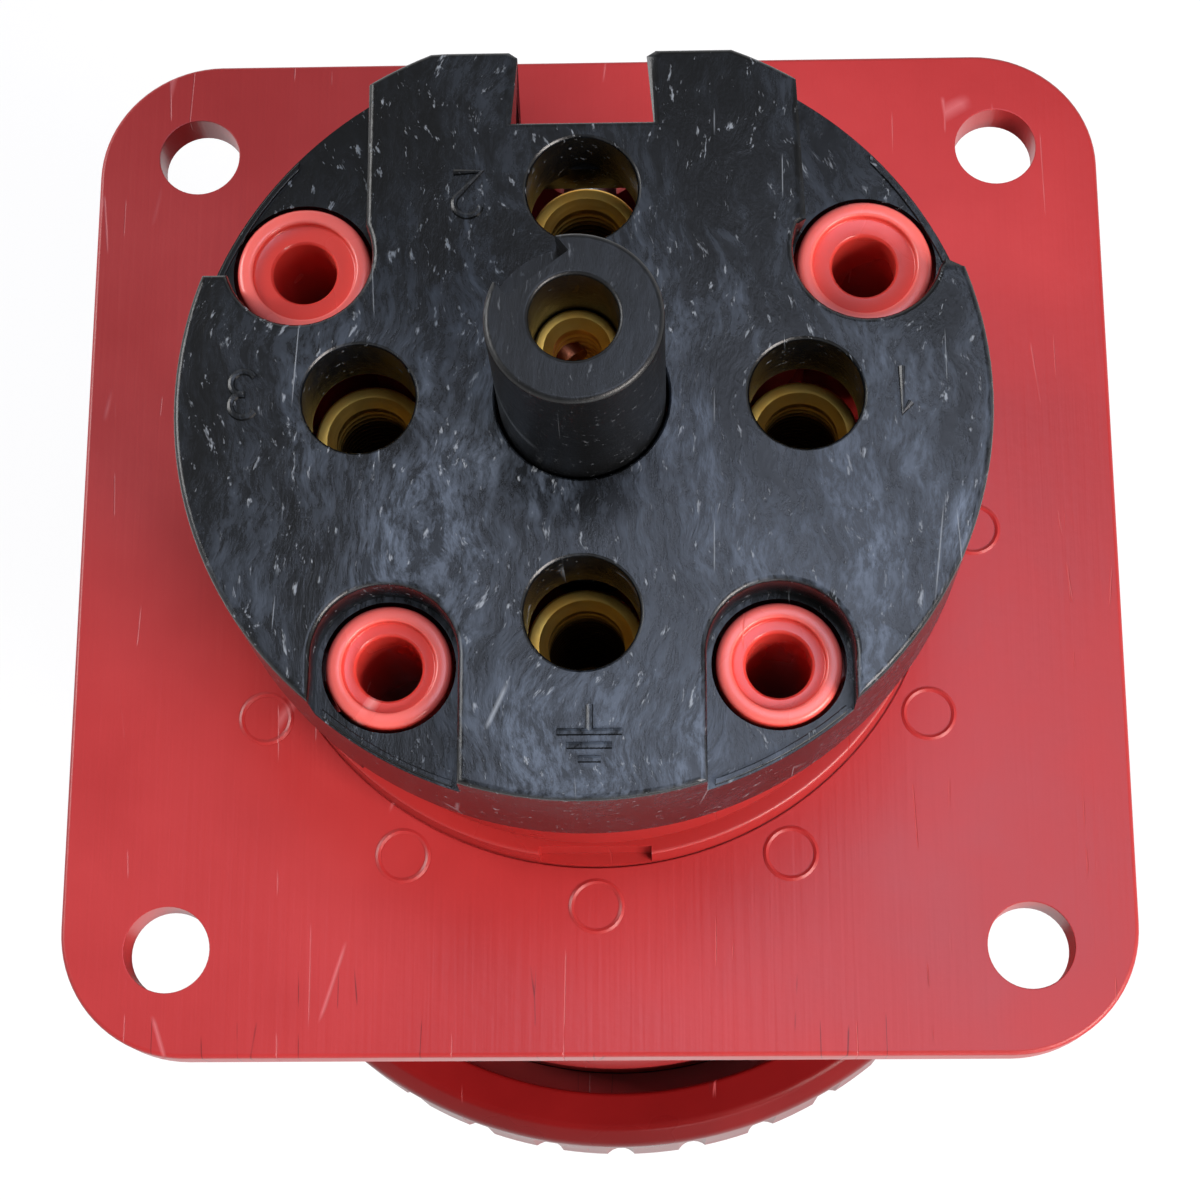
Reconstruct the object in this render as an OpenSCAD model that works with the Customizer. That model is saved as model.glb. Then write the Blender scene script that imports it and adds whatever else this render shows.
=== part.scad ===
// Five-contact panel socket: three line contacts and an earth on one circle, a pilot contact in the
// middle, a square flange that is bolted to a panel, and a sprung lid with a bayonet locking ring.
// Millimetres. The origin is the middle of the flange's panel face, +Z points to the wiring side and
// the plug comes in from -Z. The lid's hinge is on the +Y side.

/* [Flange] */
// Width and height of the square flange
flange_w = 100; // [96:1:130]
// Thickness of the flange
flange_t = 4; // [3:0.5:7]
// Radius of the flange's corners
flange_corner_r = 12; // [6:1:16]
// Distance from the flange's edge to a fixing hole's centre
bolt_edge = 10; // [8:0.5:10.5]
// Diameter of the four fixing holes
bolt_d = 8; // [4:0.5:9]

/* [Terminal chamber] */
// Outer diameter of the terminal chamber's wall
body_d = 62; // [56:1:76]
// Wall of the terminal chamber
body_wall = 2.4; // [1.6:0.2:3]
// How far the carrier's collar stands out beyond the chamber's wall
collar_lip = 1.5; // [1:0.1:2]
// Height of the collar above the panel face
collar_h = 4.3; // [3:0.1:6]
// Width of the flat on the collar
collar_flat_w = 10.3; // [6:0.1:14]
// Height of the chamber's floor
floor_z = 8; // [6:0.5:10]
// How deep the carrier sits in the flange, below the panel face
seat_depth = 10; // [8:0.5:12]

/* [Terminal cover] */
// Wall of the cover's skirt
cover_wall = 2.5; // [2:0.1:3]
// Height of the skirt's lower edge
skirt_z = 24; // [20:0.5:26]
// Height of the cover's raised top
plateau_z = 39; // [37:0.5:48]
// How far the corner recesses lie below the raised top
recess_drop = 4; // [2:0.5:5]
// Thickness of the cover's top
cover_top_t = 3; // [2.5:0.1:3.5]
// Width of the notch between the two top ends
notch_w = 12.1; // [8:0.1:14]
// How far the notch's floor lies from the body's wall
notch_inset = 6.4; // [6:0.1:7]
// How far the top ends' straight edge lies inside the cover's outline
top_cut = 2.5; // [1:0.1:4]
// Diameter of the wire entries
wire_entry_d = 9.4; // [8:0.1:10]

/* [Screw posts] */
// Outer diameter of the two upper posts
upper_post_d = 11.4; // [10:0.1:11.6]
// Outer diameter of the two lower posts
lower_post_d = 10.3; // [9:0.1:11.4]
// How far the posts' centres lie inside the body's wall
post_inset = 4; // [3.8:0.1:5]
// Angle of the upper posts above the horizontal
upper_post_angle = 28.4; // [24:0.1:34]
// Angle of the lower posts below the horizontal
lower_post_angle = 54; // [48:0.1:60]
// Bore of the posts
post_bore_d = 5.4; // [4:0.1:6]

/* [Contacts] */
// How far the contacts' circle lies inside the body's wall
contact_inset = 12.6; // [12:0.1:13.5]
// Outer diameter of the wire barrels
barrel_d = 10; // [9:0.1:10.2]
// Bore of the wire barrels
wire_bore_d = 6.5; // [5:0.1:7]
// Height of the wire barrels' ends
barrel_z = 28; // [26:0.5:30]
// Depth of the wire bores
wire_depth = 20.5; // [14:0.5:21]
// Diameter of the plug's line pins
line_pin_d = 8; // [6:0.5:8.5]
// Diameter of the plug's earth pin
earth_pin_d = 10; // [8:0.5:10.5]
// Diameter of the plug's pilot pin
pilot_pin_d = 6; // [4:0.5:6.5]
// Wall of the contact sleeves
sleeve_wall = 2; // [1.6:0.1:2.2]
// Depth of the pin bores
pin_depth = 43; // [36:1:46]
// Radius of the terminal screws
screw_r = 2.45; // [2:0.05:2.6]

/* [Pilot tube] */
// Outer diameter of the pilot's insulating tube
tube_d = 13.8; // [12:0.1:14.5]
// Height of the tube's end
tube_z = 56.6; // [52:0.1:68]
// Outer diameter of the pilot's barrel
pilot_barrel_d = 6.8; // [6:0.1:7]
// How far the pilot's barrel lies below the tube's end
pilot_sink = 7; // [5:0.5:9]
// Bore of the pilot's barrel
pilot_bore_d = 3.8; // [3:0.1:4.2]
// Direction from which the pilot's terminal screw comes in
pilot_screw_angle = 128; // [100:1:150]

/* [Plug side] */
// Depth of the shroud in front of the panel face
shroud_len = 97; // [88:1:120]
// Gap for the plug's skirt, between the socket face and the shroud
plug_gap = 8; // [6:0.5:9]
// Wall of the shroud
shroud_wall = 4; // [4:0.1:5]
// Wall of the shroud's rim, inside the locking ring
rim_wall = 3; // [2.5:0.1:3.2]
// Length of the rim
rim_len = 17; // [16:0.5:20]
// How far the socket face lies inside the shroud
face_recess = 25; // [20:1:30]

/* [Lid] */
// Thickness of the lid from its inner face to its front
lid_t = 11.8; // [11:0.2:14]
// Wall of the locking ring
ring_wall = 6.4; // [5.5:0.1:7]
// Gap between the rim and the locking ring
ring_gap = 3.4; // [3.2:0.1:4]
// Length of the locking ring behind its shoulder
ring_skirt = 16; // [15:0.5:18]
// Number of grip flutes round the locking ring
flute_count = 36; // [18:1:48]
// Radius of the hinge pin
hinge_pin_r = 2; // [1.5:0.1:2.4]

/* [Hidden] */
$fn = 96;

big = 200;
skin = 0.01;            // overrun of a cut beyond the face that it opens
seat_gap = 0.2;         // radial play of a part that is seated in another
turn_gap = 0.3;         // gap between parts that turn or slide past each other
pin_play = 0.05;        // radial play of a pin or screw in its hole

bolt_pitch = flange_w - 2 * bolt_edge;
body_r = body_d / 2;
collar_r = body_r + collar_lip;
spigot_r = body_r - 0.6;
opening_r = spigot_r + seat_gap;
chamber_r = body_r - body_wall;
seat_z = -seat_depth;
panel_relief = 0.3;     // step round the collar, so that the cover's rim never touches the panel
seal_t = 0.9;
flat_web = 0.6;         // the collar's flat ends this high, so that the seal below it stays covered

cover_ir = body_r + seat_gap;
cover_r = cover_ir + cover_wall;
relief_r = cover_r + 0.7;
recess_z = plateau_z - recess_drop;
chamber_top_z = recess_z - cover_top_t;
notch_y = body_r - notch_inset;
top_y = cover_r - top_cut;
notch_wall = 1.7;       // wall that closes the chamber behind the notch
notch_side = notch_w / 2 + 2;
wall_notch_z = skirt_z - 2;

post_circle_r = body_r - post_inset;
post_z = recess_z + 0.4;
post_play = 0.35;       // gap round a post where it comes through the cover
upper_recess_r = upper_post_d / 2 + 0.5;
lower_recess_r = lower_post_d / 2 + 0.8;
counterbore_t = 0.7;

contact_r = body_r - contact_inset;
barrel_r = barrel_d / 2;
contact_angles = [0, 90, 180];
earth_angle = -90;
screw_z = 18;
screw_gap = 0.1;        // from a retracted screw's tip to the wire bore
screw_end_r = chamber_r - 0.6;
access_r = 3.6;
pilot_top_z = tube_z - pilot_sink;
pilot_screw_z = pilot_top_z - 4.6;
pilot_screw_r = 1.45;
pilot_wire_depth = 12;
pilot_base_r = barrel_r;

insert_r = opening_r + 1.4;
insert_base_r = insert_r + 4;
insert_base_t = 6;
insert_z = -(shroud_len - face_recess);
face_t = 4;
sleeve_z = insert_z + face_t + seat_gap;
nose_z = insert_z + 0.5;  // the sleeves end in thinner noses, just inside the face
nose_wall = 0.9;
line_sleeve_r = line_pin_d / 2 + sleeve_wall;
earth_sleeve_r = earth_pin_d / 2 + sleeve_wall;
pilot_sleeve_r = pilot_pin_d / 2 + sleeve_wall - 0.4;
pin_fit = 0.03;
slit_w = 1.2;
slit_len = 28;
spring_z = sleeve_z + 8;
spring_wire_r = 0.42;
groove_depth = 0.8;

shroud_ir = insert_r + plug_gap;
shroud_r = shroud_ir + shroud_wall;
rim_r = shroud_ir + rim_wall;
rim_z = -shroud_len;
keyway_w = 9;
keyway_depth = 1.8;

bolt_shaft_r = 2;
bolt_head_r = 3.8;
bolt_head_t = 3;
bolt_head_z = seat_z - 10;
bolt_tip_z = floor_z + 3;

ring_ir = rim_r + ring_gap;
ring_r = ring_ir + ring_wall;
lid_face_z = rim_z - 1.2;
lid_flange_t = 3.5;
ring_shoulder_z = lid_face_z - lid_flange_t - turn_gap;
ring_shoulder_t = 3.5;
ring_back_z = ring_shoulder_z + ring_skirt;
ring_front_z = ring_shoulder_z - ring_shoulder_t;
shoulder_ir = rim_r + 1.2;
lid_core_r = shoulder_ir - turn_gap;
lid_front_z = lid_face_z - lid_t;
retainer_t = 1.4;
retainer_z = ring_front_z - turn_gap;
retainer_groove_r = lid_core_r - 1.7;
retainer_r = shoulder_ir + 3;
gasket_t = 2.2;
gasket_z = rim_z - turn_gap;
gasket_ir = shroud_ir - 0.1;
gasket_r = rim_r - 0.1;
lid_hollow_r = gasket_ir - 4;
lid_hollow = 6;

lug_t = 3.5;
lug_half_angle = 5;
lug_r = rim_r + 2.2;
lug_foot = 1;           // depth of the pocket in the rim that a lug stands in
ledge_ir = rim_r + 1.4;
ledge_t = 3.5;
ledge_start = 9;
ledge_angle = 22;
lug_z = ring_back_z - ledge_t - 0.4;

hinge_y = ring_r + 7.2;
hinge_z = ring_back_z + 6;
knuckle_r = 5.5;
knuckle_half = 11.6;
ear_t = 6;
ear_x = knuckle_half + 0.4;
spring_half = 4;
bracket_y = hinge_y - 8;
bracket_t = 18;
bond_gap = 0.05;        // between two parts that are bonded together
arm_start_y = 30;
arm_t = lid_front_z + 2.1;
leg_half_w = 6;
pin_half = ear_x + ear_t + 2;
clip_t = 0.8;
coil_r = 3.1;
coil_wire_r = 0.55;
coil_turns = 4.75;
coil_sides = 8;
coil_steps = 20;        // rings of the swept wire in one turn

plastic_red = "firebrick";
post_red = "tomato";
plastic_black = "#1f2227";
brass = "#b08a2e";
steel = "#b9bcc0";

// A cylinder between two heights.
module rod(r, z_low, z_high) translate([0, 0, z_low]) cylinder(r = r, h = z_high - z_low);

// A flat ring between two heights.
module washer(r_in, r_out, z_low, z_high) difference() {
    rod(r_out, z_low, z_high);
    rod(r_in, z_low - skin, z_high + skin);
}

// A box between two corners.
module block(low, high) translate(low) cube(high - low);

// A round bar along the direction ANGLE in the XY plane, from R_LOW to R_HIGH.
module radial_rod(angle, z, r, r_low, r_high)
    rotate([0, 0, angle]) translate([r_low, 0, z]) rotate([0, 90, 0]) cylinder(r = r, h = r_high - r_low);

// A wedge of the plane, as wide as the angle from A to B, which is under 90 degrees.
module wedge(a, b, z_low, z_high) translate([0, 0, z_low]) linear_extrude(z_high - z_low)
    polygon([[0, 0], big * [cos(a), sin(a)], big * [cos((a + b) / 2), sin((a + b) / 2)], big * [cos(b), sin(b)]]);

// Children at the three line contacts' places.
module at_line(i) rotate([0, 0, contact_angles[i]]) translate([contact_r, 0, 0]) children();
module at_earth() rotate([0, 0, earth_angle]) translate([contact_r, 0, 0]) children();

function polar(r, a) = [r * cos(a), r * sin(a)];
upper_posts = [polar(post_circle_r, upper_post_angle), polar(post_circle_r, 180 - upper_post_angle)];
lower_posts = [polar(post_circle_r, -lower_post_angle), polar(post_circle_r, lower_post_angle - 180)];
posts = concat(upper_posts, lower_posts);
function post_r(i) = (i < 2 ? upper_post_d : lower_post_d) / 2;

// Square plate with round corners.
module flange_outline() {
    half = flange_w / 2;
    square([flange_w - 2 * flange_corner_r, flange_w], center = true);
    square([flange_w, flange_w - 2 * flange_corner_r], center = true);
    for (x = [-1, 1], y = [-1, 1])
        translate([x * (half - flange_corner_r), y * (half - flange_corner_r)]) circle(r = flange_corner_r);
}

// A sector of a ring at each side of the rim. MORE widens it on every side but the outer one.
module lug_shape(more) {
    half_w = rim_r * sin(lug_half_angle) + more;
    for (a = [0, 180]) intersection() {
        washer(rim_r - lug_foot - more, lug_r, lug_z - lug_t - more, lug_z + more);
        rotate([0, 0, a]) block([0, -half_w, rim_z], [big, half_w, 0]);
    }
}
module bayonet_lugs() color(steel) lug_shape(0);

// Two ears for the hinge pin, on a saddle that is bonded to the outside of the shroud.
module hinge_bracket() color(plastic_red) difference() {
    union() {
        block([-ear_x - ear_t, 0, hinge_z - 4], [ear_x + ear_t, bracket_y, hinge_z - 4 + bracket_t]);
        for (s = [-1, 1]) translate([s * (ear_x + ear_t / 2), 0, 0]) {
            translate([-ear_t / 2, hinge_y, hinge_z]) rotate([0, 90, 0]) cylinder(r = knuckle_r, h = ear_t);
            block([-ear_t / 2, bracket_y - 1, hinge_z - 4], [ear_t / 2, hinge_y, hinge_z + knuckle_r]);
        }
    }
    rod(shroud_r + bond_gap, rim_z, 0);
    translate([-big / 2, hinge_y, hinge_z]) rotate([0, 90, 0]) cylinder(r = hinge_pin_r + 0.02, h = big);
}

// The square plate, with the seat for the carrier's spigot.
module flange_housing() color(plastic_red) difference() {
    union() {
        translate([0, 0, -flange_t]) linear_extrude(flange_t) flange_outline();
        rod(shroud_r, seat_z, -flange_t / 2);
    }
    rod(opening_r, seat_z - skin, skin);
    rod(relief_r, -panel_relief, skin);
    rod(collar_r - 0.3, -panel_relief - seal_t, skin);
    for (x = [-1, 1], y = [-1, 1]) translate([x * bolt_pitch / 2, y * bolt_pitch / 2, 0])
        rod(bolt_d / 2, -flange_t - skin, skin);
}

// The tube round the plug, with a thinner rim at its end. It is bonded to the plate's seat.
module shroud() color(plastic_red) difference() {
    union() {
        rod(shroud_r, rim_z + rim_len, seat_z - bond_gap);
        rod(rim_r, rim_z, seat_z - bond_gap);
    }
    rod(shroud_ir, rim_z - skin, seat_z);
    block([-keyway_w / 2, -shroud_ir - keyway_depth, rim_z - skin], [keyway_w / 2, 0, seat_z - insert_base_t]);
    lug_shape(bond_gap);
}

// A screw post: inside the chamber it is cut back to the chamber's wall, above it it is whole.
module post(i) {
    intersection() {
        translate(concat(posts[i], 0)) rod(post_r(i), floor_z - skin, skirt_z);
        rod(body_r, 0, skirt_z);
    }
    translate(concat(posts[i], 0)) rod(post_r(i), skirt_z - skin, post_z);
}

module contact_carrier() color(post_red) difference() {
    union() {
        rod(collar_r, -panel_relief, collar_h);
        rod(spigot_r, seat_z, 0);
        rod(body_r, 0, floor_z);
        washer(chamber_r, body_r, floor_z - skin, chamber_top_z - turn_gap);
        for (i = [0:3]) post(i);
        for (i = [0:3]) rotate([0, 0, atan2(posts[i][1], posts[i][0])])
            block([pilot_base_r + 4, -1, floor_z - skin], [post_circle_r, 1, barrel_z]);
    }
    // Flat on the collar and the notch that the cover's top ends straddle
    block([-collar_flat_w / 2, -collar_r - 1, flat_web], [collar_flat_w / 2, -body_r - 0.3, collar_h + skin]);
    block([-notch_side - turn_gap, 0, wall_notch_z], [notch_side + turn_gap, cover_r, plateau_z]);
    // Contacts
    for (i = [0:2]) at_line(i) rod(barrel_r + seat_gap, seat_z - skin, floor_z + skin);
    at_earth() rod(barrel_r + seat_gap, seat_z - skin, floor_z + skin);
    rod(pilot_base_r + seat_gap, seat_z - skin, floor_z + skin);
    for (a = concat(contact_angles, [earth_angle])) radial_rod(a, screw_z, access_r, chamber_r - 1, body_r + 1);
    // Posts and the holes for the assembly screws below them
    for (i = [0:3]) translate(concat(posts[i], 0)) {
        rod(post_bore_d / 2, bolt_tip_z + 1, post_z + skin);
        rod(post_r(i) - 1.3, post_z - counterbore_t, post_z + skin);
        rod(bolt_shaft_r + pin_play, seat_z - skin, bolt_tip_z + 1 + skin);
    }
}

// Outline of the cover's raised top: a disc with a cut top, a notch and a recess at each post.
module plateau_outline() {
    tip_chamfer = 1.2;
    tip_y = posts[0][1] - 1.7;
    tip_x = sqrt(pow(cover_r, 2) - pow(tip_y, 2));
    inner_x = posts[0][0] - upper_recess_r + 0.6;
    difference() {
        circle(r = cover_r);
        translate([-big / 2, top_y]) square(big);
        translate([-notch_w / 2, notch_y]) square([notch_w, big]);
        for (m = [0, 1]) mirror([m, 0]) {
            translate(posts[0]) circle(r = upper_recess_r);
            translate([inner_x, posts[0][1]]) square(big);
            translate([posts[0][0], tip_y]) square(big);
            translate(posts[2]) circle(r = lower_recess_r);
            translate([posts[2][0] - lower_recess_r, posts[2][1] - big]) square([2 * lower_recess_r, big]);
            translate([tip_x, tip_y]) rotate(45) translate([-tip_chamfer / 2, -big / 2]) square(big);
        }
    }
}

module terminal_cover() color(plastic_black) {
    difference() {
        union() {
            rod(cover_r, skirt_z, recess_z);
            translate([0, 0, skirt_z]) linear_extrude(plateau_z - skirt_z) plateau_outline();
            for (a = [51, -129]) rotate([0, 0, a])
                block([cover_ir, -1.8, skirt_z - 4], [cover_r - 0.3, 1.8, skirt_z + 1]);
        }
        // Outside: the cut top and the notch
        block([-big / 2, top_y, 0], [big / 2, big, big]);
        block([-notch_w / 2, notch_y, 0], [notch_w / 2, big, big]);
        // Inside: over the chamber's wall, and the pocket under the raised top
        difference() {
            rod(cover_ir, skirt_z - skin, chamber_top_z);
            block([-notch_side, notch_y - notch_wall, barrel_z + 1], [notch_side, big, big]);
        }
        intersection() {
            rod(contact_r + barrel_r + 0.2, chamber_top_z - skin, plateau_z - cover_top_t);
            difference() {
                rod(big, 0, big);
                for (i = [0:3]) translate(concat(posts[i], 0)) rod(post_r(i) + 3.4, 0, big);
                block([-notch_side, notch_y - notch_wall, 0], [notch_side, big, big]);
            }
        }
        for (i = [0:3]) translate(concat(posts[i], 0)) rod(post_r(i) + post_play, skirt_z - skin, big);
        for (a = concat(contact_angles, [earth_angle])) rotate([0, 0, a])
            translate([contact_r, 0, 0]) rod(wire_entry_d / 2, chamber_top_z - skin, big);
        rod(tube_d / 2 + seat_gap, skirt_z, big);
    }
}

// The pilot's tube stands on the carrier's floor, under the cover, and comes out through its middle.
module pilot_tube() color(plastic_black) difference() {
    union() {
        rod(tube_d / 2, floor_z, tube_z);
        rod(tube_d / 2 + 1.4, floor_z, floor_z + 3);
    }
    rod(pilot_barrel_d / 2 + pin_play, floor_z - skin, tube_z + skin);
    rod(pilot_base_r + seat_gap, floor_z - skin, floor_z + 6);
    radial_rod(pilot_screw_angle, pilot_screw_z, pilot_screw_r + 0.6, 0, tube_d);
    rotate([0, 0, pilot_screw_angle]) block([pilot_barrel_d / 2 + 1.1, -3, tube_z - 3.2], [big, 3, big]);
}

module socket_face() color(plastic_black) difference() {
    union() {
        rod(insert_r, insert_z, seat_z);
        rod(insert_base_r, seat_z - insert_base_t, seat_z);
    }
    for (i = [0:2]) at_line(i) {
        rod(line_sleeve_r + seat_gap, insert_z + face_t, seat_z + skin);
        rod(line_pin_d / 2 + nose_wall + seat_gap, insert_z - skin, seat_z);
    }
    at_earth() {
        rod(earth_sleeve_r + seat_gap, insert_z + face_t, seat_z + skin);
        rod(earth_pin_d / 2 + nose_wall + seat_gap, insert_z - skin, seat_z);
    }
    rod(pilot_sleeve_r + seat_gap, insert_z + face_t, seat_z + skin);
    rod(pilot_pin_d / 2 + nose_wall + seat_gap, insert_z - skin, seat_z);
    for (p = posts) translate(concat(p, 0)) {
        rod(bolt_shaft_r + seat_gap, bolt_head_z - skin, seat_z + skin);
        rod(bolt_head_r + 0.4, insert_z - skin, bolt_head_z);
    }
}

// Split sleeve for the plug's pin at the front, turned barrel for the wire at the back.
module contact(back_r, back_z, bore_r, bore_depth, sleeve_r, pin_r) color(brass) difference() {
    union() {
        rod(back_r, seat_z - skin, back_z);
        rod(sleeve_r, sleeve_z, seat_z);
        rod(pin_r + nose_wall, nose_z, seat_z);
    }
    rod(bore_r, back_z - bore_depth, back_z + skin);
    translate([0, 0, back_z - 0.7]) cylinder(r1 = bore_r - skin, r2 = bore_r + 0.75, h = 0.7 + skin);
    rod(pin_r + pin_fit, nose_z - skin, nose_z + pin_depth);
    for (a = [45, 135]) rotate([0, 0, a])
        block([-big / 2, -slit_w / 2, nose_z - skin], [big / 2, slit_w / 2, nose_z + slit_len]);
    washer(sleeve_r - groove_depth, sleeve_r + 1, spring_z - 0.6, spring_z + 0.6);
}

module ring_contact(sleeve_r, pin_d) difference() {
    contact(barrel_r, barrel_z, wire_bore_d / 2, wire_depth, sleeve_r, pin_d / 2);
    radial_rod(0, screw_z, screw_r + pin_play, 0, barrel_r + 1);
}

module line_contact(i) at_line(i) ring_contact(line_sleeve_r, line_pin_d);
module line_contact_1() line_contact(0);
module line_contact_2() line_contact(1);
module line_contact_3() line_contact(2);
module earth_contact() at_earth() ring_contact(earth_sleeve_r, earth_pin_d);
module pilot_contact() color(brass) difference() {
    union() {
        contact(pilot_barrel_d / 2, pilot_top_z, pilot_bore_d / 2, pilot_wire_depth, pilot_sleeve_r, pilot_pin_d / 2);
        washer(pilot_barrel_d / 2 - 1, pilot_base_r, seat_z, floor_z + 5.8);
    }
    radial_rod(pilot_screw_angle, pilot_screw_z, pilot_screw_r + pin_play, 0, pilot_barrel_d);
}

// Slotted set screw that lies along a radius, its tip just clear of the wire.
module set_screw(r, tip_r, end_r) color(steel) difference() {
    rotate([0, 90, 0]) translate([0, 0, tip_r]) cylinder(r = r, h = end_r - tip_r);
    block([end_r - 1.2, -0.4, -r - 1], [end_r + 1, 0.4, r + 1]);
}
module ring_screw(a) rotate([0, 0, a]) translate([0, 0, screw_z])
    set_screw(screw_r, contact_r + wire_bore_d / 2 + screw_gap, screw_end_r);
module terminal_screw_1() ring_screw(contact_angles[0]);
module terminal_screw_2() ring_screw(contact_angles[1]);
module terminal_screw_3() ring_screw(contact_angles[2]);
module earth_screw() ring_screw(earth_angle);
module pilot_screw() rotate([0, 0, pilot_screw_angle]) translate([0, 0, pilot_screw_z])
    set_screw(pilot_screw_r, pilot_bore_d / 2 - 1.1, tube_d / 2 - 0.2);

module spring_ring(r) translate([0, 0, spring_z]) rotate_extrude()
    translate([r - groove_depth + 0.05 + spring_wire_r, 0]) circle(r = spring_wire_r, $fn = 24);
module contact_springs() color(steel) {
    for (i = [0:2]) at_line(i) spring_ring(line_sleeve_r);
    at_earth() spring_ring(earth_sleeve_r);
    spring_ring(pilot_sleeve_r);
}

module assembly_screws() color(steel) for (p = posts) translate(concat(p, 0)) difference() {
    union() {
        rod(bolt_shaft_r, bolt_head_z - skin, bolt_tip_z);
        rod(bolt_head_r, bolt_head_z - bolt_head_t, bolt_head_z);
    }
    block([-big, -0.5, bolt_head_z - bolt_head_t - 1], [big, 0.5, bolt_head_z - bolt_head_t + 1.4]);
}

module carrier_seal() color(plastic_black)
    washer(spigot_r + 0.3, collar_r - 0.5, -panel_relief - seal_t, -panel_relief);

module lid() color(plastic_red) difference() {
    union() {
        rod(ring_ir - 0.5, lid_face_z - lid_flange_t, lid_face_z);
        rod(lid_core_r, lid_front_z + 2, lid_face_z);
        translate([0, 0, lid_front_z]) cylinder(r1 = lid_core_r - 2, r2 = lid_core_r, h = 2);
        block([-knuckle_half, arm_start_y, lid_front_z], [knuckle_half, hinge_y + leg_half_w, arm_t]);
        block([-knuckle_half, hinge_y - leg_half_w, lid_front_z], [knuckle_half, hinge_y + leg_half_w, hinge_z - 6]);
        translate([-knuckle_half, hinge_y, hinge_z]) rotate([0, 90, 0]) cylinder(r = knuckle_r, h = 2 * knuckle_half);
        block([-knuckle_half, hinge_y - knuckle_r, hinge_z - 7], [knuckle_half, hinge_y + knuckle_r, hinge_z]);
    }
    rod(lid_hollow_r, lid_face_z - lid_hollow, lid_face_z + skin);
    washer(gasket_ir - 0.1, gasket_r + 0.1, gasket_z - gasket_t, lid_face_z + skin);
    washer(retainer_groove_r, lid_core_r + skin, retainer_z - retainer_t - 0.1, retainer_z + 0.1);
    block([-spring_half, hinge_y - 20, hinge_z - 6], [spring_half, hinge_y + 20, hinge_z + 20]);
    translate([-big / 2, hinge_y, hinge_z]) rotate([0, 90, 0]) cylinder(r = hinge_pin_r + pin_play, h = big);
}

module lid_gasket() color(plastic_black) washer(gasket_ir, gasket_r, gasket_z - gasket_t, gasket_z);

module locking_ring() color(plastic_red) difference() {
    union() {
        rod(ring_r, ring_front_z + 1.5, ring_back_z - 2.5);
        translate([0, 0, ring_back_z - 2.5]) cylinder(r1 = ring_r, r2 = ring_r - 2, h = 2.5);
        translate([0, 0, ring_front_z]) cylinder(r1 = ring_r - 1.5, r2 = ring_r, h = 1.5);
    }
    rod(ring_ir, ring_shoulder_z, ring_back_z + skin);
    rod(shoulder_ir, ring_front_z - skin, ring_back_z);
    for (k = [1:flute_count]) rotate([0, 0, 360 / flute_count * k]) translate([ring_r + 1.3, 0, 0])
        rod(2.2, ring_front_z - skin, ring_back_z - 4.5);
}

// Two steel ledges in the locking ring, which turn behind the shroud's bayonet lugs.
module ring_ledges() color(steel) for (a = [ledge_start, ledge_start + 180]) intersection() {
    washer(ledge_ir, ring_ir - bond_gap, ring_back_z - ledge_t, ring_back_z - 0.2);
    wedge(a, a + ledge_angle, rim_z, 0);
}

module ring_retainer() color(steel) difference() {
    washer(retainer_groove_r + 0.1, retainer_r, retainer_z - retainer_t, retainer_z);
    wedge(-94, -86, lid_front_z, 0);
}

module hinge_pin() color(steel) difference() {
    translate([-pin_half, hinge_y, hinge_z]) rotate([0, 90, 0]) cylinder(r = hinge_pin_r, h = 2 * pin_half);
    for (s = [-1, 1]) translate([s * (pin_half - 1.3), hinge_y, hinge_z]) rotate([0, 90, 0])
        translate([0, 0, -clip_t / 2 - 0.05]) washer(hinge_pin_r - 0.5, hinge_pin_r + 1, 0, clip_t + 0.1);
}

module pin_clips() color(steel) for (s = [-1, 1]) translate([s * (pin_half - 1.3), hinge_y, hinge_z])
    rotate([0, 90, 0]) translate([0, 0, -clip_t / 2]) difference() {
        washer(hinge_pin_r - 0.45, hinge_pin_r + 1.8, 0, clip_t);
        block([-big, -hinge_pin_r + 0.6, -1], [0, hinge_pin_r - 0.6, 2]);
    }

// Torsion spring: the coil winds round the pin, one tail bears on the bracket and one on the lid's leg.
coil_span = 2 * (spring_half - coil_wire_r - 0.35);
function coil_point(t) = [-coil_span / 2 + coil_span * t / coil_turns,
                          hinge_y + coil_r * cos(360 * t - 90), hinge_z + coil_r * sin(360 * t - 90)];
coil_path = concat(
    [[-coil_span / 2, bracket_y + coil_wire_r + 0.2, hinge_z - coil_r]],
    [for (k = [0:coil_turns * coil_steps]) coil_point(k / coil_steps)],
    [[coil_span / 2, hinge_y - coil_r, hinge_z - 5.2]]);
function unit(v) = v / norm(v);
function tangent(path, i) = unit(path[min(i + 1, len(path) - 1)] - path[max(i - 1, 0)]);
// The wire's rings share one reference direction, the pin's axis, so that the skin doesn't twist.
function ring_points(path, i) = let (t = tangent(path, i), u = unit(cross(t, [1, 0, 0])), v = cross(t, u))
    [for (s = [0:coil_sides - 1]) let (a = 360 * s / coil_sides) path[i] + coil_wire_r * (cos(a) * u + sin(a) * v)];
module lid_spring() color(steel) {
    rings = len(coil_path);
    polyhedron(
        points = [for (i = [0:rings - 1]) each ring_points(coil_path, i)],
        faces = concat(
            [[for (s = [coil_sides - 1:-1:0]) s]],
            [for (i = [0:rings - 2], s = [0:coil_sides - 1])
                [i * coil_sides + s, i * coil_sides + (s + 1) % coil_sides,
                 (i + 1) * coil_sides + (s + 1) % coil_sides, (i + 1) * coil_sides + s]],
            [[for (s = [0:coil_sides - 1]) (rings - 1) * coil_sides + s]]));
}

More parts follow.
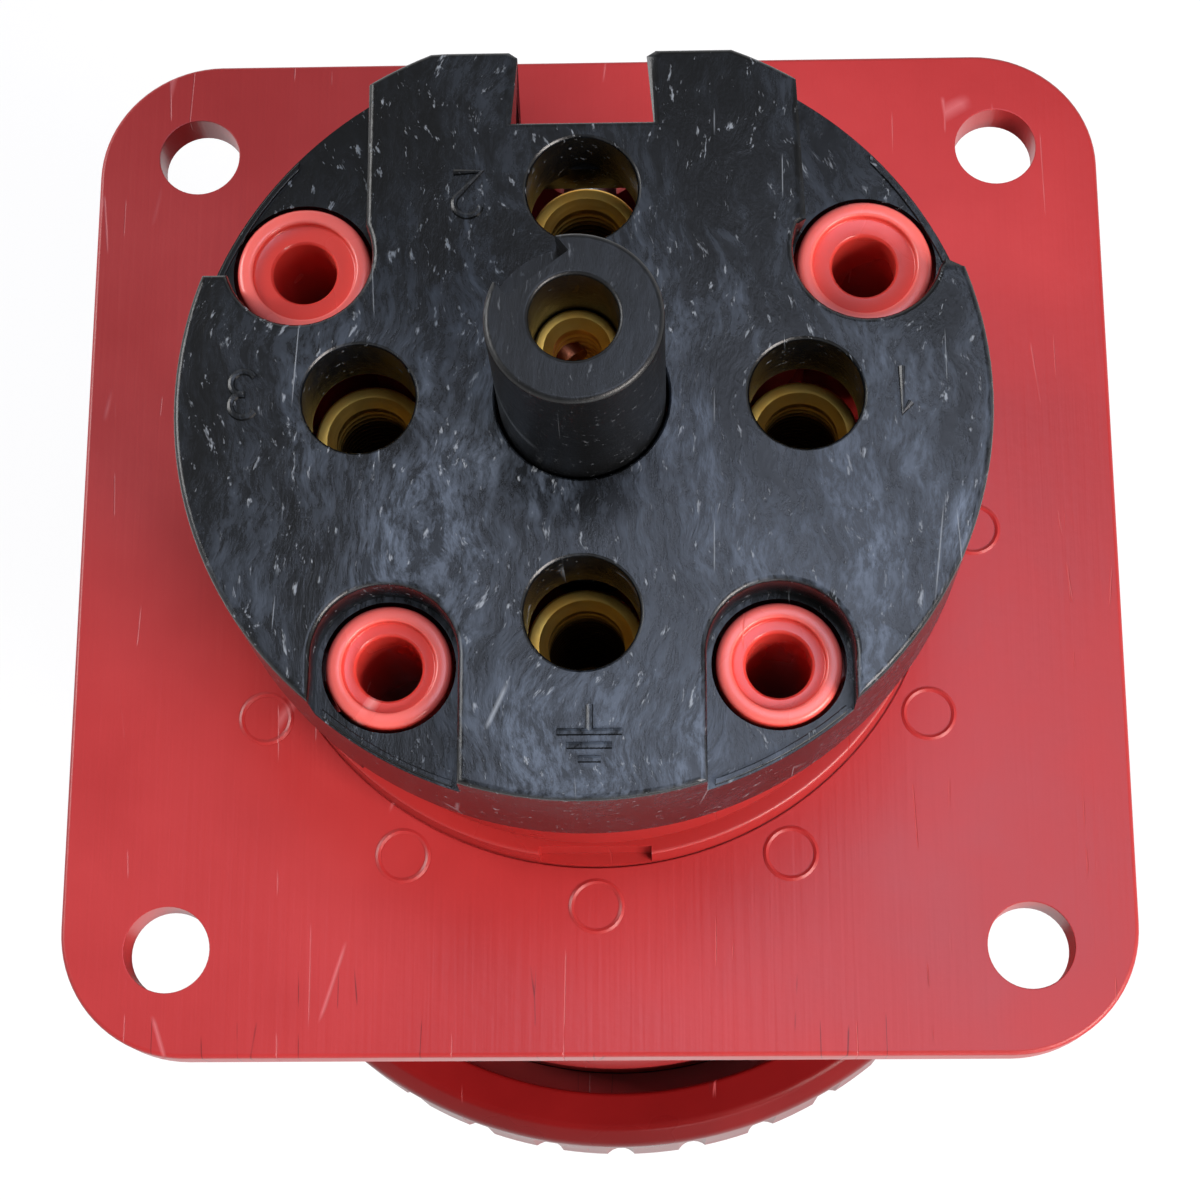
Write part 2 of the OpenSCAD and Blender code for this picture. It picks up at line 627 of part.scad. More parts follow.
flange_housing();
shroud();
bayonet_lugs();
hinge_bracket();
contact_carrier();
terminal_cover();
pilot_tube();
socket_face();
line_contact_1();
line_contact_2();
line_contact_3();
earth_contact();
pilot_contact();
terminal_screw_1();
terminal_screw_2();
terminal_screw_3();
earth_screw();
pilot_screw();
contact_springs();
assembly_screws();
carrier_seal();
lid();
lid_gasket();
locking_ring();
ring_ledges();
ring_retainer();
hinge_pin();
pin_clips();
lid_spring();
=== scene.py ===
# %% [markdown]
# # A five-contact panel socket, seen from its wiring side
# The part is the square flange of an industrial power socket. The plug goes in from below, at -Z, and the
# wires come in from above, at +Z. The CAD model gives every size. Blender adds what CAD leaves out:
# rounded edges, moulding marks, screw threads, scuffs and the shine of each plastic and metal.
# Shapes are drawn here in millimetres, because small numbers such as 0.3 are easy to read, and each
# finished piece is shrunk to metres once, at the end of its own cell.

# %% Load the CAD frame
from math import atan2, cos, degrees, pi, radians, sin

import bmesh
import bpy
from mathutils import Matrix, Vector


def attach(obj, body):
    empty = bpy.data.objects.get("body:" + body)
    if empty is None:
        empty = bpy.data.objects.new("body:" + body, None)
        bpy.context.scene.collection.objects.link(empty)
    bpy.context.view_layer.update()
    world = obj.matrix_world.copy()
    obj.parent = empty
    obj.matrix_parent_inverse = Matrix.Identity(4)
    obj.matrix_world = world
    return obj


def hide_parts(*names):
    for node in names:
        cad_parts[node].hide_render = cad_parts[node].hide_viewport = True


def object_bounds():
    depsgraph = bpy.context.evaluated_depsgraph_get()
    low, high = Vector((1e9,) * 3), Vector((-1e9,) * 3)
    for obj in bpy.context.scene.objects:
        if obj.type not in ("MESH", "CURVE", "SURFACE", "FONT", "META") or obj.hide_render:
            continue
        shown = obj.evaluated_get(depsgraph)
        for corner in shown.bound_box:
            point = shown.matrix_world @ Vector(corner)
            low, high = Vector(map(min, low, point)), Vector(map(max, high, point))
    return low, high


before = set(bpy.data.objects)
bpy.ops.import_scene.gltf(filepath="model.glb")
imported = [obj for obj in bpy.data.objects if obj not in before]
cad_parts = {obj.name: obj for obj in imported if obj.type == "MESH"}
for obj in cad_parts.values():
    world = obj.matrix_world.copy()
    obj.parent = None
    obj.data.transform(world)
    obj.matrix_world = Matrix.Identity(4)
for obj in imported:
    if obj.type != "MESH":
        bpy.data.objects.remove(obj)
cad_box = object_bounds()
print("CAD box, mm:", [[round(c * 1000, 1) for c in corner] for corner in cad_box])

# %% [markdown]
# ## Two helpers for colour and nodes
# Colours are written as sRGB hex values, as a paint program shows them. Blender mixes light with linear
# values, so one function converts them. Another adds a shader node, sets its inputs and links it in one
# line, which keeps the material cells short.

# %% Colour and node helpers
def linear(code):
    parts = [int(code[i:i + 2], 16) / 255 for i in (1, 3, 5)]
    return tuple(c / 12.92 if c <= 0.04045 else ((c + 0.055) / 1.055) ** 2.4 for c in parts) + (1,)


def add(tree, kind, settings={}, **inputs):
    """Adds a node. Inputs are values, or sockets to link; an underscore in a name stands for a space."""
    node = tree.nodes.new(kind)
    for key, value in settings.items():
        setattr(node, key, value)
    for key, value in inputs.items():
        name = int(key[1:]) if key[0] == "i" and key[1:].isdigit() else key.replace("_", " ")
        if isinstance(value, bpy.types.NodeSocket):
            tree.links.new(value, node.inputs[name])
        else:
            node.inputs[name].default_value = value
    return node


print("linear mid grey:", [round(c, 3) for c in linear("#808080")])

# %% [markdown]
# ## Camera
# The object is looked at from its wiring side, from a little below the middle and about 25 cm away.
# From so close, parallel edges lean together, so the real distance matters more than the zoom.

# %% Camera
def make_camera(place, right, up, back, lens):
    bpy.ops.object.select_all(action="DESELECT")
    bpy.ops.object.camera_add()
    camera = bpy.context.object
    camera.name = "camera"
    turn = Matrix((right, up, back)).transposed().to_4x4()
    camera.matrix_world = Matrix.Translation(place) @ turn
    camera.data.lens = lens
    camera.data.sensor_width = 36
    camera.data.clip_start = 0.01
    bpy.context.scene.camera = camera
    return camera


camera = make_camera(
    (0.007208, -0.072442, 0.240096),
    (0.999577, -0.001675, -0.029034), (0.009276, 0.964551, 0.263735), (0.027563, -0.263893, 0.964158),
    78.005)
print("camera is", round(camera.location.length * 1000), "mm from the origin")

# %% [markdown]
# ## Floor, world and lamps
# The lid swings 83 mm below the closed socket, so the floor lies just under that and is never in its way.
# Floor and world show as plain white to the camera and in reflections, and the floor still takes a soft
# shadow. Overhead the room is dark, so that the top faces mirror a ceiling and not more white. A bluish
# window hangs high and to the right: the flange and the black cover mirror its blurred patch back to the
# camera, which is why their lower right looks lighter than their upper left. A strong lamp on the right
# and a weaker one on the left give the rest.

# %% Floor and world
def make_backdrop(floor_z):
    bpy.ops.object.select_all(action="DESELECT")
    bpy.ops.mesh.primitive_plane_add(size=6, location=(0, 0, floor_z - 0.0002))
    floor = bpy.context.object
    floor.name = "floor"
    paper = bpy.data.materials.new("white_paper")
    paper.use_nodes = True
    tree = paper.node_tree
    tree.nodes.clear()
    path = add(tree, "ShaderNodeLightPath")
    seen = add(tree, "ShaderNodeMath", {"operation": "MAXIMUM"}, i0=path.outputs["Is Camera Ray"],
               i1=path.outputs["Is Transmission Ray"])
    seen = add(tree, "ShaderNodeMath", {"operation": "MAXIMUM"}, i0=seen.outputs[0], i1=path.outputs["Is Glossy Ray"])
    glow = add(tree, "ShaderNodeMath", {"operation": "MULTIPLY"}, i0=seen.outputs[0], i1=0.86)
    matt = add(tree, "ShaderNodeBsdfDiffuse", Color=linear("#77777A"))
    white = add(tree, "ShaderNodeEmission", Color=(1, 1, 1, 1), Strength=glow.outputs[0])
    both = add(tree, "ShaderNodeAddShader", i0=matt.outputs[0], i1=white.outputs[0])
    add(tree, "ShaderNodeOutputMaterial", Surface=both.outputs[0])
    floor.data.materials.append(paper)

    world = bpy.data.worlds.new("studio")
    bpy.context.scene.world = world
    world.use_nodes = True
    tree = world.node_tree
    tree.nodes.clear()
    path = add(tree, "ShaderNodeLightPath")
    seen = add(tree, "ShaderNodeMath", {"operation": "MAXIMUM"}, i0=path.outputs["Is Camera Ray"],
               i1=path.outputs["Is Transmission Ray"])
    where = add(tree, "ShaderNodeTexCoord").outputs["Generated"]
    up = add(tree, "ShaderNodeSeparateXYZ", Vector=where).outputs["Z"]
    mirrored = add(tree, "ShaderNodeMapRange", Value=up, From_Min=0.15, From_Max=0.60, To_Min=1.0, To_Max=0.24)
    level = add(tree, "ShaderNodeMix", {"data_type": "FLOAT"}, i0=path.outputs["Is Glossy Ray"], i2=0.16,
                i3=mirrored.outputs[0])
    level = add(tree, "ShaderNodeMath", {"operation": "MAXIMUM"}, i0=seen.outputs[0], i1=level.outputs[0])
    sky = add(tree, "ShaderNodeBackground", Color=(1, 1, 1, 1), Strength=level.outputs[0])
    add(tree, "ShaderNodeOutputWorld", Surface=sky.outputs[0])
    return floor


floor_z = cad_box[0].z - 0.084
floor = make_backdrop(floor_z)
print("floor at", round(floor_z * 1000, 1), "mm")

# %% Lamps
def lamp(name, place, target, size, watts, colour="#FFFFFF"):
    bpy.ops.object.select_all(action="DESELECT")
    bpy.ops.object.light_add(type="AREA", location=place)
    light = bpy.context.object
    light.name = name
    light.data.shape = "RECTANGLE"
    light.data.size, light.data.size_y = size
    light.data.energy = watts
    light.data.color = linear(colour)[:3]
    light.rotation_euler = (Vector(target) - Vector(place)).to_track_quat("-Z", "Y").to_euler()
    return light


lamp("window", (0.09, 0.05, 0.52), (0.01, -0.01, 0), (0.26, 0.16), 0.75, "#D9E5FF")
lamp("right_side", (0.42, -0.36, 0.34), (0.01, -0.01, 0), (0.30, 0.30), 5.6, "#FFF6F0")
lamp("left_side", (-0.50, 0.20, 0.38), (0, 0, 0), (0.30, 0.30), 2.6)
lamp("low_front", (0.20, -0.65, 0.02), (0, 0, -0.06), (0.3, 0.2), 0.6)
print("four lamps")

# %% [markdown]
# ## Shaping helpers
# Most of this object is turned or moulded round an axis. `turned` draws half of a cross-section corner
# by corner with Extrude, rounds the corners that have a third number, and spins it round the axis.
# `block` is a box, `carve` is the Boolean modifier applied at once, and `soften` bevels the sharp edges
# that lie in a given place. Edges are picked by where they are, as a hand would pick them.

# %% Shaping helpers
def alone(obj=None, mode=None):
    """Leaves edit mode, deselects everything, and then selects obj alone, in edit mode if one is given."""
    if bpy.context.mode != "OBJECT":
        bpy.ops.object.mode_set(mode="OBJECT")
    bpy.ops.object.select_all(action="DESELECT")
    if obj:
        obj.select_set(True)
        bpy.context.view_layer.objects.active = obj
    if mode:
        bpy.ops.object.mode_set(mode="EDIT")
        bpy.ops.mesh.select_mode(type=mode)
        bpy.ops.mesh.select_all(action="DESELECT")
        return bmesh.from_edit_mesh(obj.data)


def pick(bm, parts, test):
    """Selects the vertices, edges or faces whose middle passes the test."""
    count = 0
    for part in parts:
        spots = [part.co] if isinstance(part, bmesh.types.BMVert) else [v.co for v in part.verts]
        if test(sum(spots, Vector()) / len(spots)):
            part.select_set(True)
            count += 1
    return count


def turned(name, corners, sides=96, at=(0, 0), closed=True):
    """Spins a cross-section of (radius, height) or (radius, height, rounding) corners round a vertical axis."""
    alone()
    bpy.ops.mesh.primitive_plane_add(size=1)
    obj = bpy.context.object
    obj.name = name
    alone(obj, "VERT")
    bpy.ops.mesh.select_all(action="SELECT")
    bpy.ops.mesh.merge(type="CENTER")
    bpy.ops.transform.translate(value=(corners[0][0], 0, corners[0][1]))
    for a, b in zip(corners, corners[1:]):
        bpy.ops.mesh.extrude_vertices_move(TRANSFORM_OT_translate={"value": (b[0] - a[0], 0, b[1] - a[1])})
    bm = bmesh.from_edit_mesh(obj.data)
    if closed:
        ends = [Vector((corners[k][0], 0, corners[k][1])) for k in (0, -1)]
        bpy.ops.mesh.select_all(action="DESELECT")
        pick(bm, bm.verts, lambda p: min((p - end).length for end in ends) < 1e-4)
        bpy.ops.mesh.edge_face_add()
    for rounding in sorted({c[2] for c in corners if len(c) > 2}):
        spots = [Vector((c[0], 0, c[1])) for c in corners if len(c) > 2 and c[2] == rounding]
        bm = bmesh.from_edit_mesh(obj.data)
        bpy.ops.mesh.select_all(action="DESELECT")
        pick(bm, bm.verts, lambda p: min((p - s).length for s in spots) < 1e-4)
        bpy.ops.mesh.bevel(offset=rounding, segments=3, affect="VERTICES")
    bpy.ops.mesh.select_all(action="SELECT")
    bpy.ops.mesh.spin(steps=sides, angle=2 * pi, center=(0, 0, 0), axis=(0, 0, 1))
    bpy.ops.mesh.select_all(action="SELECT")
    bpy.ops.mesh.remove_doubles(threshold=1e-4)
    bpy.ops.mesh.normals_make_consistent(inside=False)
    bpy.ops.transform.translate(value=(at[0], at[1], 0))
    alone()
    return obj


def block(name, low, high, turn=0):
    """A box between two corners, turned round the vertical axis by degrees."""
    alone()
    size = [h - l for l, h in zip(low, high)]
    bpy.ops.mesh.primitive_cube_add(size=1, location=[(l + h) / 2 for l, h in zip(low, high)], scale=size)
    obj = bpy.context.object
    obj.name = name
    bpy.ops.object.transform_apply(location=True, rotation=True, scale=True)
    obj.data.transform(Matrix.Rotation(radians(turn), 4, "Z"))
    return obj


def drum(name, r, low, high, at=(0, 0), sides=64):
    """A plain upright cylinder, for holes and bosses."""
    alone()
    bpy.ops.mesh.primitive_cylinder_add(vertices=sides, radius=r, depth=high - low,
                                        location=(at[0], at[1], (low + high) / 2))
    bpy.context.object.name = name
    bpy.ops.object.transform_apply(location=True, rotation=True, scale=True)
    return bpy.context.object


def rod(name, r, start, end, sides=32):
    """A cylinder from one point to another."""
    alone()
    way = Vector(end) - Vector(start)
    bpy.ops.mesh.primitive_cylinder_add(vertices=sides, radius=r, depth=way.length)
    obj = bpy.context.object
    obj.name = name
    obj.data.transform(Matrix.Translation((Vector(start) + Vector(end)) / 2)
                       @ way.to_track_quat("Z", "Y").to_matrix().to_4x4())
    return obj


def carve(obj, *tools, how="DIFFERENCE"):
    for tool in tools:
        alone(obj)
        change = obj.modifiers.new("carve", "BOOLEAN")
        change.operation, change.solver, change.object = how, "EXACT", tool
        bpy.ops.object.modifier_apply(modifier=change.name)
        bpy.data.objects.remove(tool, do_unlink=True)
    return obj


def joined(*tools):
    """Makes one object of several that don't touch."""
    alone(tools[0])
    for tool in tools[1:]:
        tool.select_set(True)
    if len(tools) > 1:
        bpy.ops.object.join()
    alone()
    return tools[0]


def soften(obj, width, where=lambda p: True, steps=3, sharp=28):
    """Bevels the sharp edges whose middle passes the test, after the leftover edges of flat faces are dissolved."""
    alone(obj, "EDGE")
    bpy.ops.mesh.select_all(action="SELECT")
    bpy.ops.mesh.dissolve_limited(angle_limit=radians(0.4), delimit={"SHARP"})
    bpy.ops.mesh.select_all(action="DESELECT")
    bm = bmesh.from_edit_mesh(obj.data)
    pick(bm, [e for e in bm.edges if len(e.link_faces) == 2 and e.calc_face_angle() > radians(sharp)], where)
    if any(e.select for e in bm.edges):
        bpy.ops.mesh.bevel(offset=width, segments=steps, profile=0.5, clamp_overlap=True)
    alone()
    return obj


def polar(r, angle):
    return r * cos(radians(angle)), r * sin(radians(angle))


print("helpers ready")

# %% [markdown]
# ## Finishing a piece
# A finished piece is shrunk from millimetres to metres, gets smooth shading with its sharp corners kept,
# one material, the body that it moves with, and the CAD nodes that it stands for.

# %% Finishing helper
MATERIALS = {}


def finish_piece(obj, name, body, slot, material, *nodes, smooth=32):
    alone(obj, "VERT")
    bpy.ops.mesh.select_all(action="SELECT")
    bpy.ops.mesh.remove_doubles(threshold=1e-4)
    bpy.ops.mesh.normals_make_consistent(inside=False)
    alone(obj)
    obj.data.transform(Matrix.Scale(0.001, 4))
    obj.name = obj.data.name = name
    bpy.ops.object.shade_smooth_by_angle(angle=radians(smooth))
    even = obj.modifiers.new("even", "WEIGHTED_NORMAL")
    even.keep_sharp, even.weight = True, 100
    bpy.ops.object.modifier_apply(modifier=even.name)
    obj.data.materials.clear()
    obj.data.materials.append(MATERIALS[material])
    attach(obj, body)
    if nodes:
        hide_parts(*nodes)
    print(f"{name}: {len(obj.data.polygons)} faces")
    alone()
    return obj


# %% [markdown]
# ## The red plastic of the flange
# Flange, shroud and lid are injection-moulded polyamide, coloured right through. It has a satin gloss.
# A fine ripple runs up the plate where its mould was planed: a noise stretched thirty times along Y, used
# as a bump. Long pale scratches come from handling, and short dark cuts from a saw stand at the lower
# edge. Both are the borders of stretched Voronoi cells, cut into lengths by a noise.

# %% Moulded red polyamide
def start(name):
    material = bpy.data.materials.new(name)
    material.use_nodes = True
    tree = material.node_tree
    tree.nodes.clear()
    out = add(tree, "ShaderNodeOutputMaterial")
    shader = add(tree, "ShaderNodeBsdfPrincipled")
    tree.links.new(shader.outputs[0], out.inputs[0])
    place = add(tree, "ShaderNodeTexCoord").outputs["Object"]
    MATERIALS[name] = material
    return tree, shader, place


def ramp(tree, value, *stops):
    """A colour ramp from (position, hex colour or grey level) pairs."""
    node = add(tree, "ShaderNodeValToRGB", Fac=value)
    while len(node.color_ramp.elements) < len(stops):
        node.color_ramp.elements.new(0.5)
    for element, (position, colour) in zip(node.color_ramp.elements, stops):
        element.position = position
        element.color = linear(colour) if isinstance(colour, str) else (colour, colour, colour, 1)
    return node.outputs["Color"]


def scratches(tree, place, angle, spacing, width, seed):
    """Long thin scratches: a stretched Voronoi's cell borders, cut into lengths by a noise mask."""
    turned_place = add(tree, "ShaderNodeMapping", Vector=place, Rotation=(0, 0, radians(angle)),
                       Location=(seed, seed * 0.7, 0), Scale=(1, 0.08, 0.08)).outputs[0]
    cells = add(tree, "ShaderNodeTexVoronoi", {"feature": "DISTANCE_TO_EDGE"}, Vector=turned_place,
                Scale=1 / spacing, Randomness=1.0).outputs["Distance"]
    mask = add(tree, "ShaderNodeTexNoise", Vector=place, Scale=130.0, Detail=1.0).outputs[0]
    line = add(tree, "ShaderNodeMapRange", Value=cells, From_Min=0.0, From_Max=width, To_Min=1.0,
               To_Max=0.0).outputs[0]
    keep = add(tree, "ShaderNodeMapRange", Value=mask, From_Min=0.56, From_Max=0.62).outputs[0]
    return add(tree, "ShaderNodeMath", {"operation": "MULTIPLY"}, i0=line, i1=keep).outputs[0]


def red_plastic(name, dark, mid, light, rough, ripple=0.024, scratch="#C05A5D", mirror=0.42):
    tree, shader, place = start(name)
    cloud = add(tree, "ShaderNodeTexNoise", Vector=place, Scale=26.0, Detail=4.0, Roughness=0.6).outputs[0]
    base = ramp(tree, cloud, (0.30, dark), (0.52, mid), (0.74, light))
    lines = scratches(tree, place, 12, 0.021, 0.0035, 0.3)
    arcs = scratches(tree, place, 97, 0.017, 0.0030, 0.9)
    worn = add(tree, "ShaderNodeMath", {"operation": "MAXIMUM"}, i0=lines, i1=arcs).outputs[0]
    pale = add(tree, "ShaderNodeMix", {"data_type": "RGBA"}, i0=worn, i6=base, i7=linear(scratch)).outputs[2]
    across = add(tree, "ShaderNodeSeparateXYZ", Vector=place).outputs["Y"]
    edge = add(tree, "ShaderNodeMapRange", Value=across, From_Min=-0.0415, From_Max=-0.0435).outputs[0]
    cuts = scratches(tree, place, 90.5, 0.0045, 0.012, 1.7)
    cuts = add(tree, "ShaderNodeMath", {"operation": "MULTIPLY"}, i0=cuts, i1=edge).outputs[0]
    pale = add(tree, "ShaderNodeMix", {"data_type": "RGBA"}, i0=cuts, i6=pale, i7=linear("#6A1C1E")).outputs[2]
    tree.links.new(pale, shader.inputs["Base Color"])
    shine = add(tree, "ShaderNodeMapRange", Value=cloud, From_Min=0.3, From_Max=0.7, To_Min=rough - 0.06,
                To_Max=rough + 0.08).outputs[0]
    rub = add(tree, "ShaderNodeMath", {"operation": "MULTIPLY_ADD"}, i0=worn, i1=0.2, i2=shine).outputs[0]
    tree.links.new(rub, shader.inputs["Roughness"])
    long_grain = add(tree, "ShaderNodeMapping", Vector=place, Scale=(1, 0.03, 0.03)).outputs[0]
    planed = add(tree, "ShaderNodeTexNoise", Vector=long_grain, Scale=1500.0, Detail=2.0).outputs[0]
    fine = add(tree, "ShaderNodeTexNoise", Vector=place, Scale=900.0, Detail=2.0).outputs[0]
    height = add(tree, "ShaderNodeMath", {"operation": "MULTIPLY"}, i0=planed, i1=ripple).outputs[0]
    height = add(tree, "ShaderNodeMath", {"operation": "MULTIPLY_ADD"}, i0=fine, i1=0.012, i2=height).outputs[0]
    height = add(tree, "ShaderNodeMath", {"operation": "MULTIPLY_ADD"}, i0=worn, i1=-0.03, i2=height).outputs[0]
    bump = add(tree, "ShaderNodeBump", Height=height, Distance=0.001, Strength=1.0)
    tree.links.new(bump.outputs[0], shader.inputs["Normal"])
    shader.inputs["IOR"].default_value = 1.53
    shader.inputs["Specular IOR Level"].default_value = mirror
    return tree, shader, place, pale


red_plastic("red_polyamide", "#A5292A", "#B02E2F", "#BA3536", 0.36)
print("red polyamide")

# %% [markdown]
# ## Other red plastics
# The contact carrier is a brighter, slightly see-through coral red, glossy on its posts. Its red is
# painted darker towards the bottom and its inner floor as painted shade, and the flat tops of the posts
# are painted a paler pink as a painted highlight. The locking ring is a deeper red with a smooth gloss.

# %% Carrier and ring plastics
tree, carrier, place, colour = red_plastic("coral_carrier_plastic", "#D93F36", "#E4483F", "#EC554C", 0.28,
                                           ripple=0.004, scratch="#F4908A")
height = add(tree, "ShaderNodeSeparateXYZ", Vector=place).outputs["Z"]
# Painted shade: the red is painted darker towards the bottom of the carrier and its inner floor.
painted_shade_depth = add(tree, "ShaderNodeMapRange", Value=height, From_Min=0.030, From_Max=0.012).outputs[0]
colour = add(tree, "ShaderNodeMix", {"data_type": "RGBA"}, i0=painted_shade_depth, i6=colour, i7=linear("#A82A29")).outputs[2]
# Painted highlight: the flat tops of the posts, above 35 mm, are painted a paler pink.
painted_highlight_tops = add(tree, "ShaderNodeMapRange", Value=height, From_Min=0.0350, From_Max=0.0353).outputs[0]
colour = add(tree, "ShaderNodeMix", {"data_type": "RGBA"}, i0=painted_highlight_tops, i6=colour, i7=linear("#F66E66")).outputs[2]
tree.links.new(colour, carrier.inputs["Base Color"])
carrier.inputs["Subsurface Weight"].default_value = 0.12
carrier.inputs["Subsurface Radius"].default_value = (1.0, 0.25, 0.2)
carrier.inputs["Subsurface Scale"].default_value = 0.0015
red_plastic("ring_polyamide", "#6C0E0F", "#7C1213", "#8C1819", 0.30, ripple=0.003, mirror=0.14)
print("carrier and ring plastics")

# %% [markdown]
# ## The black plastic of the cover
# The terminal cover is black polyamide that has rubbed against others in a box. Most of it is nearly
# black. A bluish-grey haze over the middle and the lower half is partly tiny scuffs and partly a painted
# reflection of the window: it is kept to upward faces and to where the window's blurred patch would mirror.
# White flecks and short bright nicks are real scuffs. Haze is a soft noise that lifts both colour and roughness.

# %% Scuffed black polyamide
def black_plastic(name, scuff_and_sheen_amount, rough):
    tree, shader, place = start(name)
    warp = add(tree, "ShaderNodeTexNoise", Vector=place, Scale=48.0, Detail=3.0).outputs["Color"]
    bent = add(tree, "ShaderNodeVectorMath", {"operation": "MULTIPLY_ADD"}, i0=warp, i1=(0.012, 0.012, 0.012),
               i2=place).outputs[0]
    brushed = add(tree, "ShaderNodeMapping", Vector=bent, Rotation=(0, 0, radians(35)), Scale=(1, 0.3, 1)).outputs[0]
    cloud = add(tree, "ShaderNodeTexNoise", Vector=brushed, Scale=120.0, Detail=9.0, Roughness=0.68).outputs[0]
    wide = add(tree, "ShaderNodeTexNoise", Vector=place, Scale=24.0, Detail=2.0).outputs[0]
    # Painted reflection: the haze is made strongest in the lower half and away from the left edge, where the window
    # would be mirrored.
    up = add(tree, "ShaderNodeSeparateXYZ", Vector=place).outputs["Y"]
    low = add(tree, "ShaderNodeMapRange", Value=up, From_Min=0.022, From_Max=-0.012, To_Min=0.15).outputs[0]
    side = add(tree, "ShaderNodeSeparateXYZ", Vector=place).outputs["X"]
    side = add(tree, "ShaderNodeMapRange", Value=side, From_Min=-0.031, From_Max=-0.010, To_Min=0.25).outputs[0]
    low = add(tree, "ShaderNodeMath", {"operation": "MULTIPLY"}, i0=low, i1=side).outputs[0]
    painted_reflection_patch = add(tree, "ShaderNodeMapRange", Value=wide, From_Min=0.36, From_Max=0.60, To_Min=0.2).outputs[0]
    painted_reflection_patch = add(tree, "ShaderNodeMath", {"operation": "MULTIPLY"}, i0=painted_reflection_patch, i1=low).outputs[0]
    scuffs_and_painted_sheen = add(tree, "ShaderNodeMapRange", Value=cloud, From_Min=0.43, From_Max=0.60).outputs[0]
    frost = add(tree, "ShaderNodeTexNoise", Vector=brushed, Scale=1100.0, Detail=5.0, Roughness=0.75).outputs[0]
    frost = add(tree, "ShaderNodeMapRange", Value=frost, From_Min=0.42, From_Max=0.60, To_Min=0.15).outputs[0]
    scuffs_and_painted_sheen = add(tree, "ShaderNodeMath", {"operation": "MULTIPLY"}, i0=scuffs_and_painted_sheen, i1=frost).outputs[0]
    scuffs_and_painted_sheen = add(tree, "ShaderNodeMath", {"operation": "MULTIPLY"}, i0=scuffs_and_painted_sheen, i1=painted_reflection_patch).outputs[0]
    # Painted reflection: the haze is kept to faces that look up towards the window.
    facing = add(tree, "ShaderNodeSeparateXYZ", Vector=place.node.outputs["Normal"]).outputs["Z"]
    level = add(tree, "ShaderNodeMapRange", Value=facing, From_Min=0.6, From_Max=0.95, To_Min=0.15).outputs[0]
    scuffs_and_painted_sheen = add(tree, "ShaderNodeMath", {"operation": "MULTIPLY"}, i0=scuffs_and_painted_sheen, i1=level).outputs[0]
    scuffs_and_painted_sheen = add(tree, "ShaderNodeMath", {"operation": "MULTIPLY"}, i0=scuffs_and_painted_sheen, i1=scuff_and_sheen_amount).outputs[0]
    fleck = add(tree, "ShaderNodeTexNoise", Vector=brushed, Scale=1500.0, Detail=3.0, Roughness=0.7).outputs[0]
    fleck = add(tree, "ShaderNodeMapRange", Value=fleck, From_Min=0.63, From_Max=0.72).outputs[0]
    fleck = add(tree, "ShaderNodeMath", {"operation": "MULTIPLY"}, i0=fleck, i1=0.55 * scuff_and_sheen_amount).outputs[0]
    lines = scratches(tree, place, 55, 0.012, 0.004, 0.11)
    lines = add(tree, "ShaderNodeMath", {"operation": "MULTIPLY"}, i0=lines, i1=0.5 * scuff_and_sheen_amount).outputs[0]
    marks = add(tree, "ShaderNodeMath", {"operation": "MAXIMUM"}, i0=fleck, i1=lines).outputs[0]
    # The bluish grey #6E7A8C lifts the black: partly real scuffs, partly painted reflection.
    base = add(tree, "ShaderNodeMix", {"data_type": "RGBA"}, i0=scuffs_and_painted_sheen, i6=linear("#08090A"),
               i7=linear("#6E7A8C")).outputs[2]
    base = add(tree, "ShaderNodeMix", {"data_type": "RGBA"}, i0=marks, i6=base, i7=linear("#A9B0B8")).outputs[2]
    tree.links.new(base, shader.inputs["Base Color"])
    dull = add(tree, "ShaderNodeMath", {"operation": "MULTIPLY_ADD"}, i0=scuffs_and_painted_sheen, i1=0.25, i2=rough).outputs[0]
    tree.links.new(dull, shader.inputs["Roughness"])
    high = add(tree, "ShaderNodeMath", {"operation": "MULTIPLY_ADD"}, i0=cloud, i1=0.10, i2=0.0).outputs[0]
    high = add(tree, "ShaderNodeMath", {"operation": "MULTIPLY_ADD"}, i0=frost, i1=0.008, i2=high).outputs[0]
    high = add(tree, "ShaderNodeMath", {"operation": "MULTIPLY_ADD"}, i0=marks, i1=0.03, i2=high).outputs[0]
    bump = add(tree, "ShaderNodeBump", Height=high, Distance=0.001, Strength=1.0)
    tree.links.new(bump.outputs[0], shader.inputs["Normal"])
    shader.inputs["IOR"].default_value = 1.53
    shader.inputs["Specular IOR Level"].default_value = 0.36
    return shader


black_plastic("scuffed_and_sheen_black_polyamide", 1.0, 0.26)
black_plastic("black_polyamide", 0.3, 0.36)
print("black plastics")

# %% [markdown]
# ## Metals and rubber
# The contacts are turned brass, with the tool's fine rings round each barrel, and painted shade inside
# their tapped bores. Screws and the hinge pin are zinc-plated steel, the pilot's screw is copper, springs
# are bare spring steel. The gasket is a matt rubber. Metals keep the shader's own IOR.

